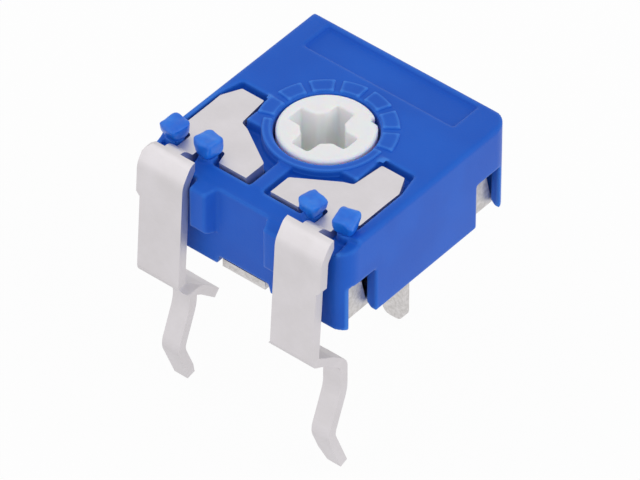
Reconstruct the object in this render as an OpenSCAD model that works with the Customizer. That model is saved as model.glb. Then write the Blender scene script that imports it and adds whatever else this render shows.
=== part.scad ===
// Square carbon trimmer, adjusted from the top, with crimped snap-in pins for a printed board.
// X runs along the front face, Y from the front pins to the rear pin, Z up.
// The origin lies midway between the two front pins, where they enter the board.

/* [Housing] */
// Width of the housing
body_w = 6.5; // [6.3:0.1:6.8]
// Depth of the housing, front to rear
body_d = 6.6; // [6.5:0.1:6.9]
// Height of the housing from its rim to its top face
body_h = 2.8; // [2.8:0.05:3.0]
// Height of the housing's rim above the board
rim_z = 1.75; // [1.6:0.05:2.0]
// Offset of the housing's outline to the right of the rotor's axis
side_offset = 0.1; // [0:0.01:0.1]
// Distance of the front face ahead of the front pins
front_setback = 0.63; // [0.6:0.01:0.66]
// Thickness of the side walls
side_wall = 0.33; // [0.3:0.01:0.36]
// Thickness of the front and rear walls
end_wall = 0.3; // [0.28:0.01:0.34]
// Thickness of the top under the terminal pockets
pocket_web = 0.35; // [0.3:0.01:0.38]
// Radius of the front corners
front_corner_r = 0.5; // [0.3:0.05:0.6]
// Radius of the right rear corner, which marks the part's orientation
rear_corner_r = 0.6; // [0.3:0.05:0.8]
// Rounding of the upper edges
edge_r = 0.12; // [0.05:0.01:0.15]
// Radius of the collar round the rotor
collar_r = 1.65; // [1.6:0.01:1.7]
// Drop of the front rail below the top face
rail_drop = 0.22; // [0.15:0.01:0.25]
// Depth of the front rail, front to rear
rail_d = 0.56; // [0.5:0.01:0.58]
// Level strip at the front rail's front edge
rail_flat = 0.15; // [0.1:0.01:0.2]
// Rise of the front rail's top towards the pockets
rail_rise = 0.1; // [0:0.01:0.12]
// Half width of the rib between the terminal pockets
centre_rib = 0.2; // [0.18:0.01:0.24]
// Drop of that rib below the top face
rib_drop = 0.08; // [0.05:0.01:0.12]
// Chamfer along the inside of the side walls' rims
rim_chamfer = 0.14; // [0.05:0.01:0.16]
// Depth of the marking recess
recess_depth = 0.12; // [0.05:0.01:0.15]
// Length of the marking recess
recess_w = 4.9; // [4.5:0.1:5]
// Width of the marking recess, front to rear
recess_d = 1.0; // [0.8:0.05:1]
// Distance of the marking recess from the rear face
recess_back = 0.2; // [0.18:0.01:0.24]
// Height of the raised dial marks
mark_h = 0.05; // [0.03:0.01:0.06]
// Length of a dial mark, outwards from the collar
mark_l = 0.32; // [0.2:0.01:0.34]
// Number of dial marks
mark_count = 8; // [6:1:8]
// Angle between two dial marks
mark_step = 25.5; // [22:0.5:26]
// Angle that a dial mark covers
mark_span = 11; // [8:1:13]

/* [Staking pegs] */
// Diameter of a peg's stem
peg_d = 0.5; // [0.4:0.02:0.52]
// Distance of the pegs behind the front face
peg_back = 0.7; // [0.68:0.01:0.74]
// Distance of the inner pegs from the middle
peg_inner_x = 1.7; // [1.68:0.01:1.72]
// Width of a peg's formed head
peg_head_w = 0.57; // [0.53:0.01:0.6]
// Radius of the upright edges of a peg's head
peg_head_r = 0.12; // [0.06:0.01:0.14]
// Height of a peg above the housing's top face
peg_rise = 0.58; // [0.3:0.02:0.6]
// Distance between the two pegs of a terminal
peg_pitch = 1.1; // [1.08:0.01:1.12]

/* [Front guides] */
// Projection of the guide ribs from the front face
guide_out = 0.36; // [0.2:0.02:0.36]
// Width of a guide rib at its face
guide_w = 0.5; // [0.4:0.01:0.5]
// Height of a guide rib
guide_h = 1.45; // [1.2:0.05:1.5]
// Distance of the guide ribs from the middle
guide_x = 0.97; // [0.9:0.01:0.97]
// Flare of a guide rib's inner side towards the wall
guide_flare = 0.15; // [0:0.01:0.16]
// Chamfer at a guide rib's lower end
guide_chamfer = 0.1; // [0.04:0.01:0.14]

/* [Clip windows] */
// Width of the side windows
window_w = 0.95; // [0.9:0.01:1]
// Height of the side windows
window_h = 1.43; // [1.3:0.01:1.45]
// Distance of the front windows from the front face
window_front = 0.26; // [0.24:0.01:0.3]
// Distance of the rear windows from the rear face
window_rear = 0.42; // [0.4:0.01:0.46]

/* [Rim notch] */
// Width of the notch in the front wall's rim
notch_w = 1.6; // [1.5:0.05:1.7]
// Gap over the collector's tongue in that notch
notch_gap = 0.03; // [0.02:0.01:0.08]

/* [Rotor] */
// Diameter of the rotor's head
head_d = 2.6; // [2.5:0.02:2.62]
// Radial running clearance between head and housing
head_clear = 0.07; // [0.04:0.01:0.1]
// Rise of the rotor's head over the top face
head_rise = 0.05; // [0.02:0.01:0.1]
// Diameter of the socket's bore
socket_d = 1.3; // [1.2:0.02:1.4]
// Length of the socket's cross arms, tip to tip
cross_l = 1.92; // [1.8:0.02:2]
// Width of the cross arms
cross_w = 0.62; // [0.5:0.02:0.66]
// Diameter of the rotor's flange
flange_d = 3.4; // [3.3:0.02:3.46]
// Thickness of the flange
flange_t = 0.5; // [0.4:0.05:0.6]
// Height of the gap between the flange and the ring above it
flange_gap = 0.08; // [0.06:0.01:0.12]
// Reach of the rotor's stop lug from the axis
lug_r = 2.06; // [2:0.01:2.08]
// Half angle of the rotor's stop lug
lug_half = 17; // [12:1:20]
// Diameter of the pointer notch
pointer_d = 0.2; // [0.16:0.02:0.24]
// Angle of the pointer notch in the head's rim, from the right
pointer_angle = 52; // [0:1:90]

/* [Travel] */
// Mechanical angle of rotation
travel = 235; // [200:5:250]
// Play left at each end stop, in degrees
stop_play = 0.5; // [0.3:0.1:1]

/* [Terminals] */
// Thickness of the terminal sheet
sheet_t = 0.27; // [0.25:0.01:0.3]
// Distance between the two front pins
pin_pitch = 5.0; // [4.96:0.01:5.08]
// Distance from the front pins to the rear pin
pin_row = 5.6; // [5.5:0.02:5.64]
// Width of a pin
pin_w = 0.58; // [0.5:0.01:0.6]
// Length of the front pins below the board's top face
pin_l = 3.45; // [3.2:0.05:3.8]
// Offset of the crimp towards the front
crimp = 0.5; // [0.3:0.02:0.52]
// Width of the terminal plates
plate_w = 1.38; // [1.34:0.02:1.42]
// Distance of the plates ahead of the front face, at the top
plate_gap = 0.22; // [0.2:0.01:0.26]
// Rise of the neck over its arms before it bends down
neck_rise = 0.44; // [0.3:0.02:0.44]
// Forward lean of the plates over their height
plate_lean = 0.27; // [0.1:0.01:0.28]
// Height of the plates' lower edge above the board
plate_foot_z = 0.88; // [0.8:0.01:0.95]
// Step of the plate's outer edge, and the height where it lies
plate_step = 0.12; // [0.04:0.01:0.14]
plate_step_z = 3.3; // [3.1:0.05:3.5]
// Step of the foot beyond the plate, towards the middle
foot_step = 0.18; // [0.1:0.01:0.2]
// Distance of the inner arms' ends from the middle
arm_in_x = 0.4; // [0.38:0.01:0.44]
// Silver left between an inner arm's bent end and the pad's inner edge
arm_web = 0.1; // [0.08:0.01:0.2]
// Distance of a rear arm's end from the middle, inner edge
arm_rear_x = 1.93; // [1.9:0.01:1.96]
// Width of a rear arm's end
arm_rear_w = 0.73; // [0.68:0.01:0.76]
// Distance of the rear arms' ends behind the front face
arm_rear_y = 3.15; // [3.1:0.01:3.2]

/* [Collector] */
// Thickness of the collector sheet
collector_t = 0.25; // [0.2:0.01:0.28]
// Width of the tongue in the front notch
tongue_w = 1.4; // [1.3:0.05:1.45]
// Width of a clip tab at its root
tab_root = 0.94; // [0.9:0.01:0.96]
// Width of a clip tab at its tip
tab_tip = 0.6; // [0.5:0.02:0.7]
// Height of a clip tab
tab_h = 1.4; // [1.2:0.02:1.42]
// Width of the rear pin
rear_pin_w = 0.7; // [0.6:0.01:0.74]
// Length of the rear pin below the board's top face
rear_pin_l = 3.85; // [3.5:0.05:3.9]
// Offset of the rear pin's kink towards the front, and of its tip
rear_crimp = 0.35; // [0.2:0.01:0.4]
rear_back = 0.1; // [0:0.01:0.12]

/* [Resistive element] */
// Thickness of the element board
board_t = 0.3; // [0.25:0.01:0.32]
// Thickness of the printed track
track_t = 0.04; // [0.03:0.01:0.05]
// Middle radius of the track
track_r = 2.18; // [2.16:0.01:2.2]
// Width of the track
track_w = 0.6; // [0.5:0.02:0.62]
// Half angle between the track's two ends, about the front
track_gap = 34; // [30:1:40]

/* [Wiper] */
// Thickness of the wiper spring
wiper_t = 0.12; // [0.1:0.01:0.13]
// Width of the wiper's finger
finger_w = 0.5; // [0.4:0.02:0.54]

/* [Hidden] */
$fn = 72;
BLUE = [0.16, 0.36, 0.76];
WHITE = [0.91, 0.91, 0.94];
TIN = [0.80, 0.79, 0.79];
BRONZE = [0.80, 0.72, 0.50];
PHENOLIC = [0.45, 0.29, 0.15];
CARBON = [0.06, 0.06, 0.06];
SILVER = [0.80, 0.80, 0.82];

// Gap between pieces that only touch, gap of loose slots, and overrun of the cuts
seat_gap = 0.02;
slot_gap = 0.05;
cut = 0.1;

// Faces of the housing
front_y = -front_setback;
rear_y = front_y + body_d;
centre_y = front_y + body_d / 2;
half_w = body_w / 2;
top_z = rim_z + body_h;
rail_z = top_z - rail_drop;

// Terminal pockets: the metal lies just below the top face
sheet_sink = 0.05;
sheet_z = top_z - sheet_sink - sheet_t;
web_z = sheet_z - pocket_web;
pocket_gap = 0.08;

// Ring that guides the rotor below the top
neck_ring_w = 0.22;

// Places along the front, measured from the middle
peg_outer_x = peg_inner_x + peg_pitch;
peg_y = front_y + peg_back;
neck_gap = 0.045;
neck_x = (peg_inner_x + peg_outer_x) / 2;
neck_half = (peg_pitch - peg_d) / 2 - neck_gap;
arm_flare = 0.1;
plate_shift = 0.05;
plate_x = neck_x - plate_shift;
pocket_outer_x = half_w - side_wall + pocket_gap;
arm_out_x = pocket_outer_x - pocket_gap;
arm_y0 = front_y + rail_d + pocket_gap - seat_gap;
arm_y1 = front_y + arm_rear_y;
arm_in_w = centre_y - (track_r - track_w / 2) - arm_web - arm_y0;
neck_y = front_y + rail_d - 2 * neck_gap;
shoulder_y = front_y - neck_gap;

// Bends of the sheet, along its middle, and half the gap between the pads in degrees
bend_r = 0.1;
fold_r = 0.18;
plate_r = 0.5;
foot_r = 0.33;
foot_drop = 0.3;
crimp_r = 0.5;
pad_half = 6;

// Inner room
room_half_w = half_w - side_wall;
room_y0 = front_y + end_wall;
room_y1 = rear_y - end_wall;
bore_r = head_d / 2 + head_clear;

// Heights of the stack inside: the plate and wiper from below, the rest from the top
board_z = web_z - board_t;
track_z = board_z - track_t;
plate_top = rim_z + collector_t;
dimple_h = 0.1;
wiper_z = plate_top + seat_gap + dimple_h;
hub_z = wiper_z + wiper_t;
neck_ring_r = bore_r + neck_ring_w;
neck_ring_h = 0.56;
neck_ring_z = web_z - neck_ring_h;
flange_r = flange_d / 2;
flange_top = neck_ring_z - flange_gap;
flange_z = flange_top - flange_t;
stop_half = 180 - travel / 2 - stop_play - lug_half;
finger_r = lug_r + slot_gap;

// ---- Plane helpers -------------------------------------------------------------------

// Rectangle with its own radius at each corner: front left, front right, rear right, rear left
module corner_rect(x0, y0, x1, y1, radii) {
    polygon(concat(
        corner_arc([x0 + radii[0], y0 + radii[0]], radii[0], 180),
        corner_arc([x1 - radii[1], y0 + radii[1]], radii[1], 270),
        corner_arc([x1 - radii[2], y1 - radii[2]], radii[2], 0),
        corner_arc([x0 + radii[3], y1 - radii[3]], radii[3], 90)));
}

function corner_arc(centre, r, start, steps = 10) =
    [for (i = [0 : steps]) centre + r * [cos(start + 90 * i / steps), sin(start + 90 * i / steps)]];

function unit(v) = v / norm(v);

// Points of the arc that replaces the corner "at" between two neighbours
function bend(before, at, after, r, steps = 6) =
    let (a = unit(before - at), b = unit(after - at),
         half = acos(a * b) / 2,
         centre = at + unit(a + b) * r / sin(half),
         p = at + a * r / tan(half) - centre,
         q = at + b * r / tan(half) - centre,
         turn = atan2(p[0] * q[1] - p[1] * q[0], p * q))
    [for (i = [0 : steps])
        let (s = turn * i / steps)
        centre + [p[0] * cos(s) - p[1] * sin(s), p[0] * sin(s) + p[1] * cos(s)]];

// Corner list [x, y, r] turned into a line with round bends
function rounded_path(c) = concat(
    [[c[0][0], c[0][1]]],
    [for (i = [1 : len(c) - 2], p = bend([c[i - 1][0], c[i - 1][1]], [c[i][0], c[i][1]],
                                          [c[i + 1][0], c[i + 1][1]], c[i][2])) p],
    [[c[len(c) - 1][0], c[len(c) - 1][1]]]);

// Closed corner list [x, y, r] turned into an outline with round corners
function rounded_outline(c) =
    [for (i = [0 : len(c) - 1])
        let (n = len(c), b = c[(i + n - 1) % n], a = c[(i + 1) % n])
        for (p = c[i][2] > 0
                 ? bend([b[0], b[1]], [c[i][0], c[i][1]], [a[0], a[1]], c[i][2], 4)
                 : [[c[i][0], c[i][1]]]) p];

// Side outline of a bent strip of thickness t along a path
function strip(path, t) =
    let (n = len(path),
         side = [for (i = [0 : n - 1])
            let (d = unit(path[min(i + 1, n - 1)] - path[max(i - 1, 0)]))
            [-d[1], d[0]] * t / 2])
    concat([for (i = [0 : n - 1]) path[i] + side[i]],
           [for (i = [n - 1 : -1 : 0]) path[i] - side[i]]);

// Pie slice about the rotor's axis, from angle a0 to a1, in the plane
module slice(a0, a1, r) {
    steps = ceil((a1 - a0) / 20);
    polygon(concat([[0, 0]],
        [for (i = [0 : steps]) let (a = a0 + (a1 - a0) * i / steps) r * [cos(a), sin(a)]]));
}

// Ring sector about the rotor's axis
module sector(a0, a1, r0, r1) {
    intersection() {
        difference() {
            circle(r1);
            circle(r0);
        }
        slice(a0, a1, r1 * 1.3);
    }
}

// Turns a side outline drawn in Y and Z into a bar across X, from x0 to x1
module across(x0, x1) {
    translate([x0, 0, 0])
        rotate([90, 0, 90])
            linear_extrude(x1 - x0) children();
}

// Turns a front outline drawn in X and Z into a bar along Y, from y0 to y1
module along(y0, y1) {
    translate([0, y1, 0])
        rotate([90, 0, 0])
            linear_extrude(y1 - y0) children();
}

module both_sides() {
    children();
    mirror([1, 0, 0]) children();
}

// ---- Housing -------------------------------------------------------------------------

module outer_block() {
    square_r = 0.001;
    translate([side_offset, 0, 0]) intersection() {
        translate([0, 0, rim_z])
            linear_extrude(body_h)
                corner_rect(-half_w, front_y, half_w, rear_y,
                            [front_corner_r, front_corner_r, rear_corner_r, edge_r]);
        across(-half_w, half_w)
            corner_rect(front_y, rim_z, rear_y, top_z, [square_r, square_r, edge_r, square_r]);
        along(front_y, rear_y)
            corner_rect(-half_w, rim_z, half_w, top_z, [square_r, square_r, edge_r, edge_r]);
    }
}

// Lowered strip along the front, rising a little to the rear, and the rib behind it
module front_step() {
    across(-half_w - cut, half_w + side_offset + cut)
        polygon([
            [front_y - cut, rail_z], [front_y + rail_flat, rail_z],
            [front_y + rail_d, rail_z + rail_rise],
            [front_y + rail_d, top_z + cut], [front_y - cut, top_z + cut]]);
    translate([0, 0, top_z - rib_drop])
        linear_extrude(body_h)
            difference() {
                translate([-centre_rib - cut, front_y])
                    square([2 * (centre_rib + cut), body_d / 2 - collar_r + cut]);
                translate([0, centre_y]) circle(collar_r);
            }
}

// Pocket of one terminal, in plan
module pocket_plan() {
    rear_slope = 0.75;
    rear = arm_y1 + 2.5 * pocket_gap;
    inner = arm_rear_x - 1.6 * pocket_gap;
    waist = rear - rear_slope;
    difference() {
        polygon([
            [centre_rib, front_y + rail_d], [pocket_outer_x, front_y + rail_d],
            [pocket_outer_x, waist], [arm_rear_x + arm_rear_w + 2 * pocket_gap, rear],
            [inner, rear], [inner, waist - rail_flat * 2], [centre_rib, waist - rail_flat * 2]]);
        translate([0, centre_y]) circle(collar_r);
    }
}

module pocket() {
    mouth_x = neck_x - neck_half - pocket_gap;
    translate([0, 0, sheet_z]) linear_extrude(body_h) pocket_plan();
    // Opening that the neck passes through to the front
    translate([mouth_x, front_y - cut, sheet_z])
        cube([pocket_outer_x - mouth_x, rail_d + 2 * cut, body_h]);
}

// Places of the two bent ends of a terminal's arms, each grown by a gap, from z0 to z1
module arm_ends(z0, z1, gap) {
    translate([arm_in_x - gap, arm_y0 - gap, z0])
        cube([sheet_t + 2 * gap, arm_in_w + 2 * gap, z1 - z0]);
}

module rear_arm_end(z0, z1, gap) {
    translate([arm_rear_x - gap, arm_y1 - sheet_t - gap, z0])
        cube([arm_rear_w - bend_r + 2 * gap, sheet_t + 2 * gap, z1 - z0]);
}

// Peg with its head formed over the terminal into a rounded block
module peg(x) {
    head_z = sheet_z + sheet_t + seat_gap;
    head_top = top_z + peg_rise;
    half = peg_head_w / 2;
    translate([x, peg_y, 0]) {
        translate([0, 0, sheet_z - slot_gap])
            cylinder(d = peg_d, h = head_z - sheet_z + 2 * slot_gap);
        intersection() {
            translate([0, 0, head_z])
                linear_extrude(head_top - head_z)
                    corner_rect(-half, -half, half, half,
                                [peg_head_r, peg_head_r, peg_head_r, peg_head_r]);
            translate([0, 0, head_top - peg_head_w]) sphere(peg_head_w);
        }
    }
}

// Guide rib on the front face: flared on its inner side, chamfered below, sloping on top
module guide_rib() {
    low = rail_z - guide_h;
    face = front_y - guide_out;
    intersection() {
        translate([0, 0, low])
            linear_extrude(guide_h)
                polygon([
                    [guide_x, face], [guide_x + guide_w, face], [guide_x + guide_w, front_y + cut],
                    [guide_x - guide_flare, front_y + cut], [guide_x - guide_flare, front_y]]);
        across(0, half_w)
            polygon([
                [front_y + cut, low], [face + guide_chamfer, low], [face, low + guide_chamfer],
                [face, rail_z - guide_chamfer], [front_y, rail_z - seat_gap],
                [front_y + cut, rail_z - seat_gap]]);
    }
}

module side_windows() {
    for (y0 = [front_y + window_front, rear_y - window_rear - window_w])
        translate([room_half_w - cut, y0, rim_z - cut])
            cube([side_wall + 2 * cut, window_w, window_h + cut]);
}

module dial_marks() {
    sunk = 0.02;
    for (i = [0 : mark_count - 1])
        translate([0, centre_y, top_z - sunk])
            rotate([0, 0, 90 + (i - (mark_count - 1) / 2) * mark_step])
                linear_extrude(mark_h + sunk)
                    sector(-mark_span / 2, mark_span / 2, collar_r - sunk, collar_r + mark_l);
}

// Block that the rotor's lug meets at both ends of its travel, clear of the clip tabs
module stop_block() {
    low = plate_top + 2 * seat_gap;
    inner_r = flange_r + flange_gap;
    clear_x = side_offset + collector_t + seat_gap + slot_gap;
    intersection() {
        translate([0, centre_y, low])
            linear_extrude(track_z - seat_gap - low)
                sector(270 - stop_half, 270 + stop_half, inner_r, body_d);
        translate([clear_x - room_half_w, room_y0 - slot_gap, 0])
            cube([2 * (room_half_w - clear_x), body_d / 2, top_z]);
    }
}

// Room for the inner pieces, open below
module inner_room() {
    translate([-room_half_w, room_y0, rim_z - cut])
        cube([2 * room_half_w, room_y1 - room_y0, web_z - rim_z + cut]);
    both_sides()
        along(room_y0, room_y1)
            polygon([
                [room_half_w - cut, rim_z - cut], [room_half_w + rim_chamfer + cut, rim_z - cut],
                [room_half_w - cut, rim_z + rim_chamfer + cut]]);
}

// Exits of the collector in the rims: its front tongue and the rear pin
module rim_notches() {
    splay = 0.1;
    pin_gap = 0.12;
    along(front_y - cut, room_y0 + cut)
        polygon([
            [-notch_w / 2 - splay, rim_z - cut], [notch_w / 2 + splay, rim_z - cut],
            [notch_w / 2, plate_top + notch_gap], [-notch_w / 2, plate_top + notch_gap]]);
    translate([-rear_pin_w / 2 - pin_gap, room_y1 - cut, rim_z - cut])
        cube([rear_pin_w + 2 * pin_gap, end_wall + 2 * cut, 2 * collector_t + cut]);
}

module housing() {
    color(BLUE) {
        difference() {
            union() {
                difference() {
                    outer_block();
                    front_step();
                    both_sides() pocket();
                    // Marking recess along the rear of the top
                    translate([-recess_w / 2 - slot_gap, rear_y - recess_d - recess_back,
                               top_z - recess_depth])
                        cube([recess_w, recess_d, body_h]);
                    translate([side_offset, 0, 0]) {
                        inner_room();
                        both_sides() side_windows();
                    }
                    rim_notches();
                    both_sides() {
                        arm_ends(web_z - cut, sheet_z + cut, slot_gap);
                        rear_arm_end(web_z - cut, sheet_z + cut, slot_gap);
                    }
                }
                stop_block();
                // Ring that guides the rotor's neck below the top
                translate([0, centre_y, neck_ring_z])
                    cylinder(r = neck_ring_r, h = neck_ring_h + slot_gap);
                both_sides() {
                    peg(peg_inner_x);
                    peg(peg_outer_x);
                    guide_rib();
                }
                dial_marks();
            }
            translate([0, centre_y, neck_ring_z - cut])
                cylinder(r = bore_r, h = body_h);
        }
    }
}

// ---- Rotor and wiper -----------------------------------------------------------------

// Round socket with four tapering arms, in plan
module socket_plan() {
    tip_half = cross_w * 0.42;
    tip_r = 0.05;
    circle(d = socket_d);
    for (a = [0, 90])
        rotate(a)
            polygon(rounded_outline([
                [-cross_l / 2, -tip_half, tip_r], [0, -cross_w / 2, 0],
                [cross_l / 2, -tip_half, tip_r], [cross_l / 2, tip_half, tip_r],
                [0, cross_w / 2, 0], [-cross_l / 2, tip_half, tip_r]]));
}

module rotor() {
    head_top = top_z + head_rise;
    head_r = head_d / 2;
    chamfer = 0.06;
    color(WHITE)
        translate([0, centre_y, 0])
            difference() {
                union() {
                    rotate_extrude()
                        polygon([
                            [0, hub_z], [head_r, hub_z], [head_r, flange_z],
                            [flange_r, flange_z], [flange_r, flange_top], [head_r, flange_top],
                            [head_r, head_top - chamfer], [head_r - chamfer, head_top],
                            [0, head_top]]);
                    // Lug that meets the stop block
                    translate([0, 0, hub_z])
                        linear_extrude(flange_top - hub_z)
                            sector(90 - lug_half, 90 + lug_half, (cross_l + head_d) / 4, lug_r);
                }
                translate([0, 0, hub_z - cut])
                    linear_extrude(body_h + rim_z) socket_plan();
                // Pointer notch in the rim
                rotate([0, 0, pointer_angle])
                    translate([head_r, 0, head_top - pointer_d])
                        cylinder(d = pointer_d, h = 2 * pointer_d);
            }
}

module wiper_spring() {
    ring_in_d = cross_l + 2 * slot_gap;
    finger_top = track_z - seat_gap;
    finger_tip = 0.2;
    dimple_r = 0.1;
    half = finger_w / 2;
    mid_r = finger_r + wiper_t / 2;
    color(BRONZE)
        translate([0, centre_y, 0]) {
            // Ring pressed under the rotor, with a foot out to the finger
            translate([0, 0, wiper_z])
                linear_extrude(wiper_t) {
                    difference() {
                        circle(d = head_d);
                        circle(d = ring_in_d);
                    }
                    translate([-half, head_d / 2 - cut])
                        square([finger_w, finger_r + wiper_t - head_d / 2 + cut]);
                }
            // Finger up to the track, with a rounded tip bent inward
            across(-half, half)
                polygon(strip(rounded_path([
                    [mid_r, wiper_z, 0], [mid_r, finger_top - wiper_t / 2, bend_r],
                    [finger_r - finger_tip, finger_top - wiper_t / 2, 0]]), wiper_t));
            // Dimples that slide on the collector
            for (a = [210, 330])
                rotate([0, 0, a])
                    translate([(head_d + ring_in_d) / 4, 0, wiper_z - dimple_h])
                        cylinder(r1 = dimple_r / 2, r2 = dimple_r, h = dimple_h + wiper_t / 2, $fn = 24);
        }
}

// ---- Resistive element ---------------------------------------------------------------

module element_board() {
    corner_r = 0.3;
    edge_x = room_half_w - slot_gap;
    color(PHENOLIC)
        difference() {
            translate([side_offset, 0, board_z + seat_gap])
                linear_extrude(board_t - seat_gap)
                    corner_rect(-edge_x, room_y0 + slot_gap, edge_x, room_y1 - slot_gap,
                                [corner_r, corner_r, corner_r, corner_r]);
            translate([0, centre_y, board_z - cut])
                cylinder(r = neck_ring_r + slot_gap, h = board_t + 2 * cut);
            both_sides() arm_ends(board_z - cut, web_z + cut, slot_gap);
        }
}

module carbon_track() {
    color(CARBON)
        translate([0, centre_y, track_z + seat_gap])
            linear_extrude(track_t)
                sector(270 + track_gap, 630 - track_gap,
                       track_r - track_w / 2, track_r + track_w / 2);
}

// Silvered pad at one end of the track, from angle a0 to a1
module electrode(a0, a1) {
    pad_out = 0.15;
    color(SILVER)
        difference() {
            translate([0, centre_y, track_z + seat_gap])
                linear_extrude(track_t)
                    intersection() {
                        sector(a0, a1, track_r - track_w / 2, track_r + track_w / 2 + pad_out);
                        translate([-room_half_w, room_y0 + slot_gap - centre_y])
                            square([2 * room_half_w, body_d]);
                    }
            both_sides() arm_ends(track_z - cut, board_z + cut, seat_gap);
        }
}

module left_electrode() {
    electrode(270 - track_gap, 270 - pad_half);
}

module right_electrode() {
    electrode(270 + pad_half, 270 + track_gap);
}

// ---- Terminals -----------------------------------------------------------------------

// Crimped pin below the board, as centre line corners from its root down
function crimp_path() =
    let (root = 0.26, knee = 0.63, root_r = 1.2)
    [[0, -root * pin_l, root_r], [-crimp, -knee * pin_l, crimp_r], [0, -pin_l, 0]];

// The rear pin's kink starts higher, and its tip stays a little to the front
function kink_path() =
    let (root = 0.1, knee = 0.4, heel = 0.68)
    [[pin_row, -root * rear_pin_l, crimp_r],
     [pin_row - rear_crimp, -knee * rear_pin_l, crimp_r],
     [pin_row - rear_back, -heel * rear_pin_l, crimp_r],
     [pin_row - rear_back, -rear_pin_l, 0]];

// Arms and neck lying on the housing, in plan
module terminal_plan() {
    stem_y = peg_y + peg_d / 2 + slot_gap;
    stem_x = peg_inner_x - peg_d / 2 - slot_gap;
    neck_x0 = neck_x - neck_half;
    neck_x1 = neck_x + neck_half;
    rear_x1 = arm_rear_x + arm_rear_w;
    fork_y = (stem_y + arm_y1) / 2 - seat_gap;
    polygon(rounded_outline([
        [arm_in_x, arm_y0, 0], [stem_x - arm_flare, arm_y0, slot_gap],
        [stem_x, stem_y, bend_r], [neck_x0, stem_y, bend_r],
        [neck_x0, neck_y, 0], [neck_x1, neck_y, 0],
        [neck_x1, stem_y, bend_r], [arm_out_x, stem_y, bend_r],
        [arm_out_x, arm_y1 - 3.5 * sheet_t, 2 * bend_r],
        [rear_x1 + sheet_t, arm_y1 - 2 * sheet_t, 2 * bend_r],
        [rear_x1, arm_y1, slot_gap], [arm_rear_x, arm_y1, slot_gap],
        [arm_rear_x - bend_r, fork_y + bend_r, bend_r],
        [(stem_x + arm_rear_x) / 2 - bend_r, fork_y, 2 * bend_r],
        [arm_in_x, arm_y0 + arm_in_w, bend_r]]));
}

// Plate, foot and pin of a front terminal, seen from the front
module terminal_front() {
    x0 = plate_x - plate_w / 2;
    x1 = plate_x + plate_w / 2;
    foot_x = x0 - foot_step;
    pin_x0 = (pin_pitch - pin_w) / 2;
    pin_x1 = (pin_pitch + pin_w) / 2;
    tip_x = pin_x0 + pin_w / 4;
    polygon(rounded_outline([
        [x0, top_z + 1, 0], [x0, plate_foot_z + 1.5 * bend_r, bend_r],
        [foot_x, plate_foot_z - bend_r, bend_r], [foot_x, -sheet_t, 0], [pin_x0, -sheet_t, 0],
        [pin_x0, -pin_l * 0.86, 2 * bend_r], [tip_x, -pin_l - cut, 0],
        [pin_x1, -pin_l - cut, 0], [pin_x1, sheet_t, 2 * bend_r],
        [x1, plate_foot_z, 2 * bend_r], [x1, plate_step_z, slot_gap / 2],
        [x1 + plate_step, plate_step_z + plate_step, slot_gap / 2],
        [x1 + plate_step, top_z + 1, 0]]));
}

// Centre line of a terminal: its neck rises, bends over and runs down the plate to the foot
function plate_path() =
    let (over_z = sheet_z + sheet_t / 2,
         plate_y = front_y - plate_gap - sheet_t / 2,
         foot_y = plate_y - plate_lean)
    [[neck_y + seat_gap, over_z, 0], [neck_y - bend_r, over_z, fold_r],
     [shoulder_y, over_z + neck_rise, fold_r], [plate_y - bend_r / 2, over_z - bend_r, plate_r],
     [foot_y, plate_foot_z + bend_r, fold_r], [front_y, plate_foot_z - foot_drop, foot_r]];

// Room beside the neck, which is narrower than the plate
module neck_sides() {
    for (x = [neck_x - neck_half - body_w, neck_x + neck_half])
        translate([x, shoulder_y, plate_step_z])
            cube([body_w, body_d, body_h]);
}

module terminal() {
    fit = 0.03;
    reach = 2;
    difference() {
        translate([0, 0, sheet_z]) linear_extrude(sheet_t) terminal_plan();
        // Clearance round the peg stems
        for (x = [peg_inner_x, peg_outer_x])
            translate([x, peg_y, sheet_z - cut])
                cylinder(r = peg_d / 2 + fit, h = sheet_t + 2 * cut);
    }
    difference() {
        intersection() {
            union() {
                // Neck, plate and foot
                across(0, half_w)
                    polygon(strip(rounded_path(concat(plate_path(), [[-bend_r, bend_r, 0]])),
                                  sheet_t));
                // Pin, carried on down from the foot
                across((pin_pitch - pin_w) / 2, half_w)
                    polygon(strip(rounded_path(concat(plate_path(), [[0, 0.01, foot_r]],
                                                      crimp_path())), sheet_t));
            }
            along(front_y - reach, front_y + reach) terminal_front();
        }
        neck_sides();
    }
    // Ends of the two arms, bent down into the housing
    arm_ends(track_z + seat_gap, sheet_z + slot_gap, 0);
    rear_arm_end(web_z + seat_gap, sheet_z + slot_gap, 0);
}

module left_terminal() {
    color(TIN) mirror([1, 0, 0]) terminal();
}

module right_terminal() {
    color(TIN) terminal();
}

// ---- Collector -----------------------------------------------------------------------

// Clip tab folded up from the plate's side, with a slanted rear edge
module clip_tab(y0) {
    across(room_half_w - seat_gap - collector_t, room_half_w - seat_gap)
        polygon([
            [y0, rim_z], [y0 + tab_root, rim_z],
            [y0 + tab_tip, rim_z + tab_h], [y0, rim_z + tab_h]]);
}

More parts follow.
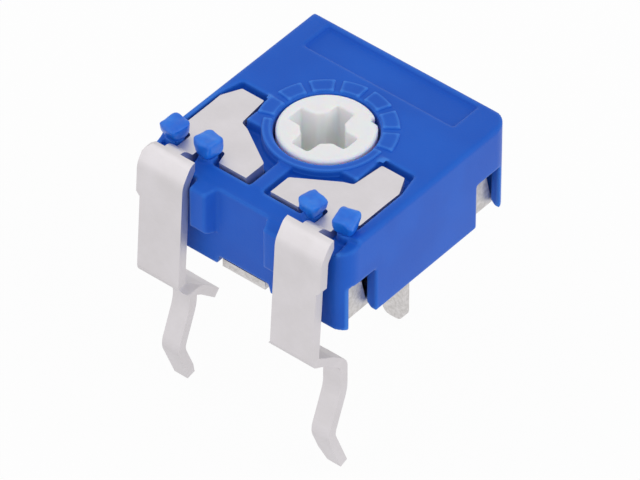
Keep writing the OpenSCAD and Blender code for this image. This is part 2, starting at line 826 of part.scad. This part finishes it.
module collector_plate() {
    inset = 0.03;
    edge_x = room_half_w - seat_gap;
    pin_half = rear_pin_w / 2;
    tip_r = 0.25;
    mid_z = rim_z + collector_t / 2;
    reach = 2;
    color(TIN) {
        difference() {
            translate([0, 0, rim_z])
                linear_extrude(collector_t) {
                    translate([side_offset, 0])
                        corner_rect(-edge_x, room_y0 + inset, edge_x, room_y1 - inset,
                                    [bend_r, bend_r, bend_r, bend_r]);
                    // Front tongue, seen in the front wall's notch
                    translate([-tongue_w / 2, front_y + inset])
                        square([tongue_w, end_wall + cut]);
                }
            translate([0, centre_y, rim_z - cut])
                cylinder(d = cross_l + 2 * slot_gap, h = collector_t + 2 * cut);
        }
        translate([side_offset, 0, 0])
            both_sides() {
                clip_tab(room_y0 + inset);
                clip_tab(room_y1 - inset - tab_root);
            }
        // Rear pin, folded down from the plate, kinked to hold in its hole
        intersection() {
            across(-pin_half, pin_half)
                polygon(strip(rounded_path(concat(
                    [[room_y1 - end_wall, mid_z, 0], [pin_row, mid_z, fold_r]],
                    kink_path())), collector_t));
            along(pin_row - reach, pin_row + reach)
                polygon(rounded_outline([
                    [-pin_half, rim_z + 1, 0], [-pin_half, -rear_pin_l, tip_r],
                    [pin_half, -rear_pin_l, tip_r], [pin_half, rim_z + 1, 0]]));
        }
    }
}

housing();
rotor();
wiper_spring();
element_board();
carbon_track();
left_electrode();
right_electrode();
left_terminal();
right_terminal();
collector_plate();
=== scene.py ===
import math

import bmesh
import bpy
from mathutils import Matrix, Vector


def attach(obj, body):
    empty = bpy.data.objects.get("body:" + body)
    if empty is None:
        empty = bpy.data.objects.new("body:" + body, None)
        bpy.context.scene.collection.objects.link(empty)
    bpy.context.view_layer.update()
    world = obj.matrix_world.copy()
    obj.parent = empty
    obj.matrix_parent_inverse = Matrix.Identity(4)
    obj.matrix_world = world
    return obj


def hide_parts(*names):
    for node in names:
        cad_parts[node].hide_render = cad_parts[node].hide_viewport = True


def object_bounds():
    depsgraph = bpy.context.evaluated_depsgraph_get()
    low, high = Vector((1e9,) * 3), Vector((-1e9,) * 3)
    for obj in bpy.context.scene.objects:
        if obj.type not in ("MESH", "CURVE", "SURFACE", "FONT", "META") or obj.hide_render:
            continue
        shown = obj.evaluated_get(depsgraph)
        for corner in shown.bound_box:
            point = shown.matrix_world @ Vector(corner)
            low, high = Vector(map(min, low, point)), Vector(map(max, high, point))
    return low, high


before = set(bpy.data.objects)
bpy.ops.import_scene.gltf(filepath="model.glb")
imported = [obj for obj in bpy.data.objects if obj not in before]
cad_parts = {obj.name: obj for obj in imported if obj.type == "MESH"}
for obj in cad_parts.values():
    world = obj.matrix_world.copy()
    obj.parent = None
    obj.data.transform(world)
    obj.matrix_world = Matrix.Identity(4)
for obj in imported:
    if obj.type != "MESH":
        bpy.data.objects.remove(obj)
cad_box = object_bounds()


# Camera. A long lens nearly 200 mm away looks down on the top, the front face and the right side of
# the trimmer, which stands on its three pins. Lengths are in millimetres wherever MM is written.
MM = 0.001
view_side, view_height = math.radians(39.7), math.radians(42.39)
view_dir = Vector((math.sin(view_side) * math.cos(view_height),
                   -math.cos(view_side) * math.cos(view_height), math.sin(view_height)))
aim = Vector((1.553, 0.534, 3.152)) * MM
stand_off, near_limit = 195 * MM, 10 * MM
lens = bpy.data.cameras.new("view")
lens.sensor_width, lens.lens, lens.clip_start = 36, 437.5, near_limit
camera = bpy.data.objects.new("view", lens)
camera.location = aim + view_dir * stand_off
camera.rotation_euler = view_dir.to_track_quat("Z", "Y").to_euler()
bpy.context.collection.objects.link(camera)
bpy.context.scene.camera = camera
bpy.context.scene.view_settings.view_transform = "Standard"


# Housing. One moulding in blue glass-filled nylon with a fine satin skin, which carries every other
# piece. Its edges are broken by the mould, and the recess along the rear of its top is left bare.
class Value:
    """One number, colour or shape inside a node tree, so that its maths reads as arithmetic."""

    def __init__(self, owner, socket):
        self.owner, self.socket = owner, socket

    def _maths(self, operation, *terms):
        return self.owner.node("ShaderNodeMath", {"operation": operation}, dict(enumerate(terms)))

    def __add__(self, other): return self._maths("ADD", self, other)
    def __radd__(self, other): return self._maths("ADD", other, self)
    def __sub__(self, other): return self._maths("SUBTRACT", self, other)
    def __rsub__(self, other): return self._maths("SUBTRACT", other, self)
    def __mul__(self, other): return self._maths("MULTIPLY", self, other)
    def __rmul__(self, other): return self._maths("MULTIPLY", other, self)
    def __truediv__(self, other): return self._maths("DIVIDE", self, other)
    def __rtruediv__(self, other): return self._maths("DIVIDE", other, self)
    def __pow__(self, other): return self._maths("POWER", self, other)
    def __mod__(self, other): return self._maths("MODULO", self, other)
    def __abs__(self): return self._maths("ABSOLUTE", self)
    def over(self, other): return self._maths("MAXIMUM", self, other)
    def under(self, other): return self._maths("MINIMUM", self, other)
    def sin(self): return self._maths("SINE", self)
    def cos(self): return self._maths("COSINE", self)
    def floor(self): return self._maths("FLOOR", self)

    def ramp(self, low, high):
        """0 up to low, 1 from high on, smooth between."""
        return self.owner.node("ShaderNodeMapRange", {"interpolation_type": "SMOOTHSTEP"},
                               {0: self, 1: low, 2: high, 3: 0.0, 4: 1.0})


class Tree:
    """A node tree, each node made by its type, its settings and what its sockets get."""

    def __init__(self, tree):
        self.tree = tree
        tree.nodes.clear()

    def plug(self, socket, value):
        if isinstance(value, Value):
            self.tree.links.new(value.socket, socket)
        else:
            socket.default_value = value

    def node(self, kind, settings=None, inputs=None, out=0):
        """Makes the node and gives one of its outputs, or nothing where it has none."""
        made = self.tree.nodes.new(kind)
        for key, setting in (settings or {}).items():
            setattr(made, key, setting)
        for key, value in (inputs or {}).items():
            self.plug(made.inputs[key], value)
        if made.outputs:
            return Value(self, made.outputs[out])

    def parts(self, vector):
        """The three numbers of a vector."""
        split = self.node("ShaderNodeSeparateXYZ", None, {0: vector}).socket.node
        return [Value(self, socket) for socket in split.outputs]

    def point(self, x, y, z):
        return self.node("ShaderNodeCombineXYZ", None, {0: x, 1: y, 2: z})


class Finish(Tree):
    """A material whose surface is one Principled shader."""

    def __init__(self, name, **fixed):
        self.material = bpy.data.materials.new(name)
        self.material.use_nodes = True
        super().__init__(self.material.node_tree)
        self.surface = self.node("ShaderNodeBsdfPrincipled")
        self.node("ShaderNodeOutputMaterial", None, {"Surface": self.surface})
        for label, value in fixed.items():
            self.set(label.replace("_", " "), value)

    def set(self, label, value):
        self.plug(self.surface.socket.node.inputs[label], value)

    def place(self, stretch=(1, 1, 1)):
        """The point of the surface in the object's own frame."""
        spot = self.node("ShaderNodeTexCoord", out="Object")
        return self.node("ShaderNodeVectorMath", {"operation": "MULTIPLY"}, {0: spot, 1: stretch})

    def grain(self, size, detail=3.0, rough=0.5, stretch=(1, 1, 1)):
        """Noise from 0 to 1 whose lumps are about size metres across."""
        return self.node("ShaderNodeTexNoise", None,
                         {"Vector": self.place(stretch), "Scale": 1 / size, "Detail": detail,
                          "Roughness": rough})

    def mix(self, share, first, second):
        return self.node("ShaderNodeMix", {"data_type": "RGBA"}, {0: share, 6: first, 7: second}, 2)

    def bump(self, height, depth):
        self.set("Normal", self.node("ShaderNodeBump", None,
                                     {"Strength": 1.0, "Distance": depth, "Height": height}))

    def speckle(self, grain, dark, light, rough, spread, depth, share=None):
        """Colour, roughness and relief that all follow one grain, or colour its own share."""
        self.set("Base Color", self.mix(share or grain, dark, light))
        self.set("Roughness", rough + spread * grain)
        self.bump(grain, depth)


def colour(red, green, blue):
    """A colour as it is seen on a screen, 0 to 255, turned into the light it reflects."""
    line = [c / 255 / 12.92 if c < 10.3 else ((c / 255 + 0.055) / 1.055) ** 2.4
            for c in (red, green, blue)]
    return (*line, 1.0)


def add(name, mesh, *finishes):
    """Puts the mesh in the scene as a piece with the given finishes."""
    piece = bpy.data.objects.new(name, mesh)
    bpy.context.collection.objects.link(piece)
    mesh.materials.clear()
    for finish in finishes:
        mesh.materials.append(finish.material)
    return piece


def mesh_of(name, bm):
    """A mesh data block made from the bmesh, which is used up."""
    mesh = bpy.data.meshes.new(name)
    bm.to_mesh(mesh)
    bm.free()
    return mesh


def settle(piece):
    """Makes the piece's modifiers part of its mesh."""
    shape = bpy.data.meshes.new_from_object(
        piece.evaluated_get(bpy.context.evaluated_depsgraph_get()))
    piece.modifiers.clear()
    piece.data = shape


weld, coplanar = 0.0004 * MM, math.radians(1.0)


def welded(mesh):
    """The mesh as a bmesh, with doubles merged and flat faces made whole."""
    bm = bmesh.new()
    bm.from_mesh(mesh)
    bmesh.ops.remove_doubles(bm, verts=bm.verts, dist=weld)
    bmesh.ops.dissolve_limit(bm, angle_limit=coplanar, verts=bm.verts, edges=bm.edges)
    return bm


def solid(node):
    """The node's solid, ready to be cut or rounded."""
    return welded(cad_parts[node].data)


def carved(bm, cutter, operation="DIFFERENCE"):
    """The mesh with the cutter's volume taken out of it, or joined to it."""
    blank, tool = add("blank", mesh_of("blank", bm)), add("cutter", mesh_of("cutter", cutter))
    carve = blank.modifiers.new("carve", "BOOLEAN")
    carve.operation, carve.solver, carve.object = operation, "MANIFOLD", tool
    settle(blank)
    shape = blank.data
    for piece in (blank, tool):
        bpy.data.objects.remove(piece)
    return welded(shape)


def moulded(name, bm, finish, cell, rounds):
    """Adds the piece as it leaves a mould: its edges are eased in rounds on a net of even cells."""
    piece = add(name, mesh_of(name, bm), finish)
    net = piece.modifiers.new("net", "REMESH")
    net.mode, net.voxel_size, net.adaptivity = "VOXEL", cell, 0
    ease = piece.modifiers.new("ease", "SMOOTH")
    ease.factor, ease.iterations = 0.5, rounds
    flats = piece.modifiers.new("flats", "DECIMATE")
    flats.decimate_type, flats.angle_limit = "DISSOLVE", math.radians(0.6)
    settle(piece)
    piece.data.shade_smooth()
    return piece


def box(bm, low, high):
    """A closed box between two corners."""
    size = [b - a for a, b in zip(low, high)]
    made = bmesh.ops.create_cube(bm, size=1)["verts"]
    bmesh.ops.scale(bm, vec=size, verts=made)
    bmesh.ops.translate(bm, vec=[(a + b) / 2 for a, b in zip(low, high)], verts=made)


top_z, axis_y = 4.55 * MM, 2.67 * MM


def ring(bm, inner, outer, low, high, first, last):
    """A closed ring sector about the rotor's axis, between two angles in degrees."""
    steps = 96
    rows = []
    for i in range(steps + 1):
        a = math.radians(first + (last - first) * i / steps)
        rows.append([bm.verts.new((r * math.cos(a), axis_y + r * math.sin(a), z))
                     for r, z in ((inner, low), (outer, low), (outer, high), (inner, high))])
    for here, after in zip(rows, rows[1:]):
        for i in range(4):
            bm.faces.new((here[i], here[(i + 1) % 4], after[(i + 1) % 4], after[i]))
    bm.faces.new(rows[0][::-1])
    bm.faces.new(rows[-1])
    bmesh.ops.recalc_face_normals(bm, faces=bm.faces)


blue = Finish("moulded_blue", IOR=1.5, Specular_IOR_Level=0.2, Sheen_Weight=0.12,
              Sheen_Roughness=0.45)
cloud = blue.grain(1.6 * MM, 2)
skin = blue.grain(0.055 * MM, 3, 0.6)
body = blue.mix(cloud.ramp(0.3, 0.7), colour(10, 88, 200), colour(16, 95, 208))
# Thin edges and corners are mixed towards a lighter blue: a painted highlight along the moulding's
# edges.
edge_highlight = blue.node("ShaderNodeAmbientOcclusion", {"inside": True, "only_local": True, "samples": 8},
                  {"Distance": 0.13 * MM}, 1)
blue.set("Base Color", blue.mix((1 - edge_highlight).ramp(0.03, 0.5), body, colour(58, 130, 230)))
blue.set("Roughness", 0.36 + 0.12 * skin + 0.05 * cloud)
blue.bump(skin, 0.0035 * MM)

# The pegs' heads and the dial are made apart, so their plain forms come off the moulding first.
peg_x, peg_y, peg_low, peg_top = (1.7 * MM, 2.8 * MM), 0.07 * MM, 4.52 * MM, 5.08 * MM
head_half = 0.32 * MM
clear_half, clear_top = head_half * 1.1, peg_top + MM
mark_x, mark_y = (1.68 * MM, 2.1 * MM), (2.4 * MM, 2.719 * MM)
mark_z = (4.45 * MM, top_z + 0.02 * MM)
marks_inner, marks_outer, marks_low = 1.58 * MM, 2.02 * MM, top_z - 0.002 * MM
marks_from, marks_to = -9, 189
spare = bmesh.new()
for sign in (-1, 1):
    for stub_x in peg_x:
        box(spare, (sign * stub_x - clear_half, peg_y - clear_half, peg_low),
            (sign * stub_x + clear_half, peg_y + clear_half, clear_top))
    near_x, far_x = sorted(sign * x for x in mark_x)
    box(spare, (near_x, mark_y[0], mark_z[0]), (far_x, mark_y[1], mark_z[1]))
ring(spare, marks_inner, marks_outer, marks_low, top_z + 0.3 * MM, marks_from, marks_to)
housing = moulded("housing_moulding", carved(solid("housing"), spare), blue, cell=0.04 * MM,
                  rounds=4)
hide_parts("housing")
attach(housing, "base")


# Dial. Low raised blocks in a ring round the bore, moulded with the housing, with narrow gaps that
# the notch in the rotor's rim is read against. To the front the ring runs on as a plain collar.
def finished(name, bm, *finishes, edge=0, turn=32):
    """Adds the piece, smooth but for corners over turn degrees, which get a round of width edge."""
    mesh = mesh_of(name, bm)
    mesh.shade_smooth()
    mesh.set_sharp_from_angle(angle=math.radians(turn))
    piece = add(name, mesh, *finishes)
    if edge:
        rounding = piece.modifiers.new("edge", "BEVEL")
        rounding.width, rounding.segments = edge, 3
        rounding.limit_method, rounding.angle_limit = "ANGLE", math.radians(turn)
        rounding.use_clamp_overlap = True
        rounding.harden_normals = True
        settle(piece)
    return piece


class Pattern(Tree):
    """A Geometry Nodes tree with named sizes, which ends as one plain mesh."""

    def __init__(self, name, **sizes):
        super().__init__(bpy.data.node_groups.new(name, "GeometryNodeTree"))
        self.sizes = sizes
        for label, value in sizes.items():
            kind = "NodeSocketInt" if isinstance(value, int) else "NodeSocketFloat"
            self.tree.interface.new_socket(label, in_out="INPUT", socket_type=kind)
        self.tree.interface.new_socket("Mesh", in_out="OUTPUT", socket_type="NodeSocketGeometry")
        self.given = self.tree.nodes.new("NodeGroupInput")

    def __getitem__(self, label):
        return Value(self, self.given.outputs[label])

    def mesh(self, shape, finish):
        """Turns the tree's shape into a plain mesh in the given finish."""
        whole = self.node("GeometryNodeRealizeInstances", None, {"Geometry": shape})
        dressed = self.node("GeometryNodeSetMaterial", None,
                            {"Geometry": whole, "Material": finish.material})
        self.node("NodeGroupOutput", None, {"Mesh": dressed})
        holder = add(self.tree.name, bpy.data.meshes.new(self.tree.name))
        layer = holder.modifiers.new("pattern", "NODES")
        layer.node_group = self.tree
        for item in self.tree.interface.items_tree:
            if item.in_out == "INPUT":
                layer[item.identifier] = self.sizes[item.name]
        settle(holder)
        result = bmesh.new()
        result.from_mesh(holder.data)
        bpy.data.objects.remove(holder)
        return result


dial_inner, dial_height, dial_sunk, dial_edge = 1.41 * MM, 0.04 * MM, 0.2 * MM, 0.035 * MM
dial = Pattern("dial_blocks", Blocks=7, First=math.radians(22.1), Pitch=math.radians(27.8),
               Gap=math.radians(6.0), Inner=dial_inner, Outer=1.86 * MM, Height=dial_height,
               Sunk=dial_sunk)
# One block is cut flat, with its length as an angle, and then bent round the rotor's axis.
straight = dial.node("GeometryNodeMeshCube", None, {
    "Size": dial.point(dial["Pitch"] - dial["Gap"], dial["Outer"] - dial["Inner"],
                       dial["Height"] + dial["Sunk"]),
    "Vertices X": 9, "Vertices Y": 2, "Vertices Z": 2})
sweep, inward, up = dial.parts(dial.node("GeometryNodeInputPosition"))
reach = (dial["Outer"] + dial["Inner"]) / 2 - inward
block = dial.node("GeometryNodeSetPosition", None, {
    "Geometry": straight, "Position": dial.point(reach * sweep.cos(), reach * sweep.sin(), up)})
axis_points = dial.node("GeometryNodePoints", None, {
    "Count": dial["Blocks"],
    "Position": dial.point(0.0, axis_y, top_z + (dial["Height"] - dial["Sunk"]) / 2)})
heading = dial["First"] + dial.node("GeometryNodeInputIndex") * dial["Pitch"]
block_row = dial.node("GeometryNodeInstanceOnPoints", None, {
    "Points": axis_points, "Instance": block,
    "Rotation": dial.node("FunctionNodeEulerToRotation", None, {
        0: dial.point(0.0, 0.0, heading)})})
dial_blocks = finished("dial_blocks", dial.mesh(block_row, blue), blue, edge=dial_edge)

collar_outer, collar_from, collar_to = 1.65 * MM, 205, 367
collar_ring = bmesh.new()
ring(collar_ring, dial_inner, collar_outer, top_z - dial_sunk, top_z + dial_height, collar_from,
     collar_to)
collar = finished("front_collar", collar_ring, blue, edge=dial_edge)

for piece in (dial_blocks, collar):
    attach(piece, "base")


# Peg heads. Four stubs of the moulding stand up through the terminals and are upset hot over them,
# so each ends in a squat rounded block that leans a little its own way.
# The heads' blue is painted lighter than the housing's, a painted highlight on the heads; their
# lower roughness is their own glossier skin.
highlit_heads = Finish("melted_blue", IOR=1.5, Specular_IOR_Level=0.45)
flow = highlit_heads.grain(0.4 * MM, 2, 0.5)
highlit_heads.set("Base Color", highlit_heads.mix(flow.ramp(0.3, 0.7), colour(20, 106, 224),
                                    colour(38, 128, 238)))
highlit_heads.set("Roughness", 0.26 + 0.14 * flow)
highlit_heads.bump(highlit_heads.grain(0.12 * MM, 2, 0.5), 0.006 * MM)

heads = Pattern("peg_heads", Seed=7, Inner=peg_x[0], Pitch=peg_x[1] - peg_x[0], Half=head_half,
                Low=peg_low, Top=peg_top, Squareness=5.0, Lean=math.radians(8),
                Flare=0.10, Ripple=0.06 * MM, Pressed=0.17)
# A finely divided cube is drawn in to a rounded block that widens towards its top.
lump = heads.node("GeometryNodeMeshCube", None, {
    "Size": (2.0, 2.0, 2.0), "Vertices X": 13, "Vertices Y": 13, "Vertices Z": 13})
lump_x, lump_y, lump_z = heads.parts(heads.node("GeometryNodeInputPosition"))
bulk = (abs(lump_x) ** heads["Squareness"] + abs(lump_y) ** heads["Squareness"]
        + abs(lump_z) ** heads["Squareness"]) ** (1 / heads["Squareness"])
half_height = (heads["Top"] - heads["Low"]) / 2
half_width = (1 - heads["Flare"] + heads["Flare"] * (lump_z / bulk)) * heads["Half"]
rounded = heads.node("GeometryNodeSetPosition", None, {
    "Geometry": lump,
    "Position": heads.point(lump_x / bulk * half_width, lump_y / bulk * half_width,
                            lump_z / bulk * half_height)})
# Pegs count off left and right in turn, the inner pair first, and are pressed to differing depths.
peg = heads.node("GeometryNodeInputIndex")
hand = 2 * (peg % 2.0) - 1
squat = 1 - heads["Pressed"] * (peg % 3.0).under(1.0)
peg_points = heads.node("GeometryNodePoints", None, {
    "Count": 4,
    "Position": heads.point(hand * (heads["Inner"] + heads["Pitch"] * (peg / 2).floor()),
                            peg_y, heads["Low"] + half_height * squat)})
way = heads.node("FunctionNodeRandomValue", {"data_type": "FLOAT_VECTOR"}, {
    "Min": (-1.0, -1.0, -1.6), "Max": (1.0, 1.0, 1.6), "Seed": heads["Seed"]})
tilt = heads.node("ShaderNodeVectorMath", {"operation": "SCALE"}, {
    0: way, "Scale": heads["Lean"]})
placed = heads.node("GeometryNodeRealizeInstances", None, {
    "Geometry": heads.node("GeometryNodeInstanceOnPoints", None, {
        "Points": peg_points, "Instance": rounded, "Scale": heads.point(1.0, 1.0, squat),
        "Rotation": heads.node("FunctionNodeEulerToRotation", None, {0: tilt})})})
# The hot tool leaves slow waves in the skin.
waves = heads.node("ShaderNodeTexNoise", {"noise_dimensions": "3D"}, {
    "Scale": 1 / (0.35 * MM), "Detail": 1.0}, 1)
push = heads.node("ShaderNodeVectorMath", {"operation": "SCALE"}, {
    0: heads.node("ShaderNodeVectorMath", {"operation": "SUBTRACT"}, {
        0: waves, 1: (0.5, 0.5, 0.5)}),
    "Scale": heads["Ripple"] * 2})
upset = heads.node("GeometryNodeSetPosition", None, {"Geometry": placed, "Offset": push})
peg_heads = finished("peg_heads", heads.mesh(upset, highlit_heads), highlit_heads, turn=60)
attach(peg_heads, "base")


# Rotor. A knob moulded in white nylon, in the middle of the top, with a round bore and a four-armed
# cross for the tool. Light goes a little way into it, and the socket is painted greener and darker
# with depth, a painted shade.
white = Finish("rotor_white", IOR=1.5, Subsurface_Weight=0.5, Subsurface_Scale=0.25 * MM)
height = white.parts(white.place())[2]
# Painted shade: the colour turns greener and darker the deeper the point lies in the socket.
socket_shade = 1 - height.ramp(2.6 * MM, 4.4 * MM)
white.set("Base Color", white.mix(socket_shade, colour(250, 251, 255), colour(243, 246, 240)))
white.set("Roughness", 0.34 + 0.12 * white.grain(0.05 * MM))
white.bump(white.grain(0.07 * MM), 0.002 * MM)


def turned(segments, foot, head, length, middle):
    """A closed round bar that stands on its middle point, with its own radius at foot and head."""
    bm = bmesh.new()
    bmesh.ops.create_cone(bm, cap_ends=True, segments=segments, radius1=foot, radius2=head,
                          depth=length, matrix=Matrix.Translation(middle))
    return bm


# The knob is filled solid, then bored, cut for the cross and notched in its rim for the pointer.
plug_r, bore_r = 1.1 * MM, 0.57 * MM
socket_x, socket_y = -0.06 * MM, axis_y - 0.08 * MM
plug = turned(64, plug_r, plug_r, length=2.2 * MM, middle=(0, axis_y, 3.49 * MM))
bore = turned(64, bore_r, bore_r, length=4 * MM, middle=(socket_x, socket_y, 3.5 * MM))

arm_reach, arm_half, arm_tip_half = 0.92 * MM, 0.31 * MM, 0.265 * MM
cross_low, cross_tall = 1.5 * MM, 4 * MM
cross = bmesh.new()
outline = []
for arm in range(4):
    a = math.radians(90 * arm)
    for along, across in ((arm_half, -arm_half), (arm_reach, -arm_tip_half),
                          (arm_reach, arm_tip_half)):
        outline.append(cross.verts.new((socket_x + along * math.cos(a) - across * math.sin(a),
                                        socket_y + along * math.sin(a) + across * math.cos(a),
                                        cross_low)))
raised = bmesh.ops.extrude_face_region(cross, geom=[cross.faces.new(outline)])["geom"]
bmesh.ops.translate(cross, vec=(0, 0, cross_tall),
                    verts=[g for g in raised if isinstance(g, bmesh.types.BMVert)])
bmesh.ops.recalc_face_normals(cross, faces=cross.faces)

pointer_turn, rim_r = math.radians(52), 1.3 * MM
pointer = turned(32, foot=0.13 * MM, head=0.15 * MM, length=0.6 * MM,
                 middle=(rim_r * math.cos(pointer_turn),
                         axis_y + rim_r * math.sin(pointer_turn), 4.6 * MM))
knob = carved(solid("rotor"), plug, "UNION")
for cutter in (bore, cross, pointer):
    knob = carved(knob, cutter)
rotor = moulded("rotor_knob", knob, white, cell=0.028 * MM, rounds=12)
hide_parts("rotor")
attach(rotor, "knob")


# Terminals. Two mirrored strips of tinned brass sheet, pressed flat over the pegs, folded down the
# front and crimped below. The faces keep the dull tin, and the edges show the grain of the shear.
tin = Finish("tinned_sheet", Metallic=1.0)
patch = tin.grain(0.9 * MM, 5, 0.65)
rolled = tin.grain(0.05 * MM, 2, 0.5, (0.25, 1, 1))
tin.set("Base Color", tin.mix(patch.ramp(0.2, 0.8), colour(212, 208, 210), colour(220, 216, 219)))
tin.set("Roughness", 0.42 + 0.08 * patch + 0.08 * rolled)
tin.bump(0.4 * patch + 0.4 * rolled, 0.002 * MM)

cut = Finish("sheared_edge", Metallic=0.3)
tear = cut.grain(0.06 * MM, 4, 0.6)
cut.speckle(tear, colour(188, 180, 170), colour(240, 236, 232), 0.5, 0.25, 0.014 * MM,
            tear.ramp(0.36, 0.64))

# The left strip was bent by hand, and its outer shoulder slopes away in two steps: x, z, degrees.
shoulder_slopes = ((-3.01 * MM, 4.60 * MM, 62), (-2.93 * MM, 4.72 * MM, 38))
# A face is a sheared one where it looks sideways, or stands upright on the plate but looks back.
plate_low, sideways, upright = 4.2 * MM, 0.75, 0.3

for side in ("left", "right"):
    strip = solid(side + "_terminal")
    for corner_x, corner_z, fall in shoulder_slopes if side == "left" else ():
        slope = math.radians(fall)
        split = bmesh.ops.bisect_plane(
            strip, geom=strip.verts[:] + strip.edges[:] + strip.faces[:], dist=0.0001 * MM,
            plane_co=(corner_x, 0, corner_z), plane_no=(-math.sin(slope), 0, math.cos(slope)),
            clear_outer=True)
        bmesh.ops.holes_fill(strip, edges=[g for g in split["geom_cut"]
                                           if isinstance(g, bmesh.types.BMEdge)])
    for face in strip.faces:
        n = face.normal
        on_plate = min(v.co.z for v in face.verts) > plate_low
        sheared = abs(n.x) > sideways or on_plate and abs(n.z) < upright and n.y > -upright
        face.material_index = 1 if sheared else 0
    terminal = finished(side + "_terminal_strip", strip, tin, cut, edge=0.03 * MM, turn=40)
    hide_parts(side + "_terminal")
    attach(terminal, "base")


# Collector. The tinned plate that closes the housing from below, held by four clip tabs folded up
# into the side windows, with the rear pin bent down out of its edge.
dipped = Finish("dipped_tin", Metallic=1.0)
blotch = dipped.grain(0.11 * MM, 4, 0.7)
dipped.speckle(blotch, colour(194, 191, 189), colour(222, 219, 219), 0.36, 0.22, 0.006 * MM,
               blotch.ramp(0.3, 0.7))

tongue_y = -0.5 * MM
sheet = solid("collector_plate")
for face in sheet.faces:
    on_tongue = all(v.co.y < tongue_y for v in face.verts)
    face.material_index = 1 if on_tongue and abs(face.normal.z) < upright else 0
plate = finished("collector_sheet", sheet, dipped, cut, edge=0.025 * MM)
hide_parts("collector_plate")
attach(plate, "base")


# Resistive element. A board punched from brown phenolic paper, seated under the top, with a carbon
# track and two silver pads screen printed and fired on its lower face.
paper = Finish("phenolic_board", IOR=1.55)
paper.speckle(paper.grain(0.12 * MM, 4, 0.6, (1, 0.3, 1)), colour(104, 66, 34),
              colour(138, 92, 50), 0.5, 0.2, 0.004 * MM)
ink = Finish("carbon_ink", IOR=1.5)
ink.speckle(ink.grain(0.04 * MM, 3), colour(22, 22, 23), colour(44, 43, 42), 0.55, 0.2,
            0.003 * MM)
silver = Finish("silver_ink", Metallic=0.9)
silver.speckle(silver.grain(0.03 * MM, 3), colour(176, 176, 180), colour(214, 214, 216), 0.45, 0.2,
               0.003 * MM)

for node, finish in (("element_board", paper), ("carbon_track", ink),
                     ("left_electrode", silver), ("right_electrode", silver)):
    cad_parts[node].data.materials.clear()
    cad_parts[node].data.materials.append(finish.material)


# Wiper. A spring of bright bronze strip, punched and formed, pressed in under the rotor. It turns
# with the rotor and joins the track to the collector.
bronze = Finish("spring_bronze", Metallic=1.0)
bronze.speckle(bronze.grain(0.08 * MM, 3, 0.5, (0.3, 1, 1)), colour(196, 160, 98),
               colour(222, 190, 128), 0.28, 0.15, 0.003 * MM)

wiper = finished("wiper_strip", solid("wiper_spring"), bronze, edge=0.015 * MM)
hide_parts("wiper_spring")
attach(wiper, "knob")


# Studio. A pale painted floor under the pins' tips and a bright even room, with one broad lamp from
# the left of the front and one from the right. Both floor and room look white where they are seen.
bright = (1, 1, 1, 1)


def looked_at(tree):
    """1 for a ray that shows the surface as it is, straight, mirrored or through glass."""
    direct, mirrored, through = (tree.node("ShaderNodeLightPath", out=ray) for ray in (
        "Is Camera Ray", "Is Glossy Ray", "Is Transmission Ray"))
    return direct.over(mirrored).over(through)


floor_z, floor_half, floor_white = cad_box[0][2] - 0.02 * MM, 1500 * MM, 0.94
floor_mesh = bpy.data.meshes.new("floor")
floor_mesh.from_pydata([(x * floor_half, y * floor_half, floor_z)
                        for x, y in ((-1, -1), (1, -1), (1, 1), (-1, 1))], [], [(0, 1, 2, 3)])
paint = Finish("floor_paint", Base_Color=(0.92, 0.92, 0.92, 1), Roughness=0.9)
glow = paint.node("ShaderNodeEmission", None, {"Color": bright, "Strength": 1.0})
washed = paint.node("ShaderNodeMixShader", None, {
    0: looked_at(paint) * floor_white, 1: paint.surface, 2: glow})
paint.plug(paint.tree.get_output_node("ALL").inputs["Surface"], washed)
add("floor", floor_mesh, paint)

room = bpy.data.worlds.new("room")
room.use_nodes = True
bpy.context.scene.world = room
air = Tree(room.node_tree)
room_light, room_white = 0.69, 1.0
lit, shown = (air.node("ShaderNodeBackground", None, {"Color": bright, "Strength": strength})
              for strength in (room_light, room_white))
air.node("ShaderNodeOutputWorld", None, {
    "Surface": air.node("ShaderNodeMixShader", None, {0: looked_at(air), 1: lit, 2: shown})})


def softbox(name, spot, size, power):
    """A square lamp that faces the object."""
    lamp = bpy.data.lights.new(name, "AREA")
    lamp.shape, lamp.size, lamp.energy = "SQUARE", size, power
    stand = bpy.data.objects.new(name, lamp)
    stand.location = spot
    stand.rotation_euler = (Vector(spot) - aim).to_track_quat("Z", "Y").to_euler()
    bpy.context.collection.objects.link(stand)


softbox("key", spot=(-0.18, -0.22, 0.20), size=0.36, power=0.15)
softbox("right_fill", spot=(0.28, 0.02, 0.18), size=0.26, power=0.22)
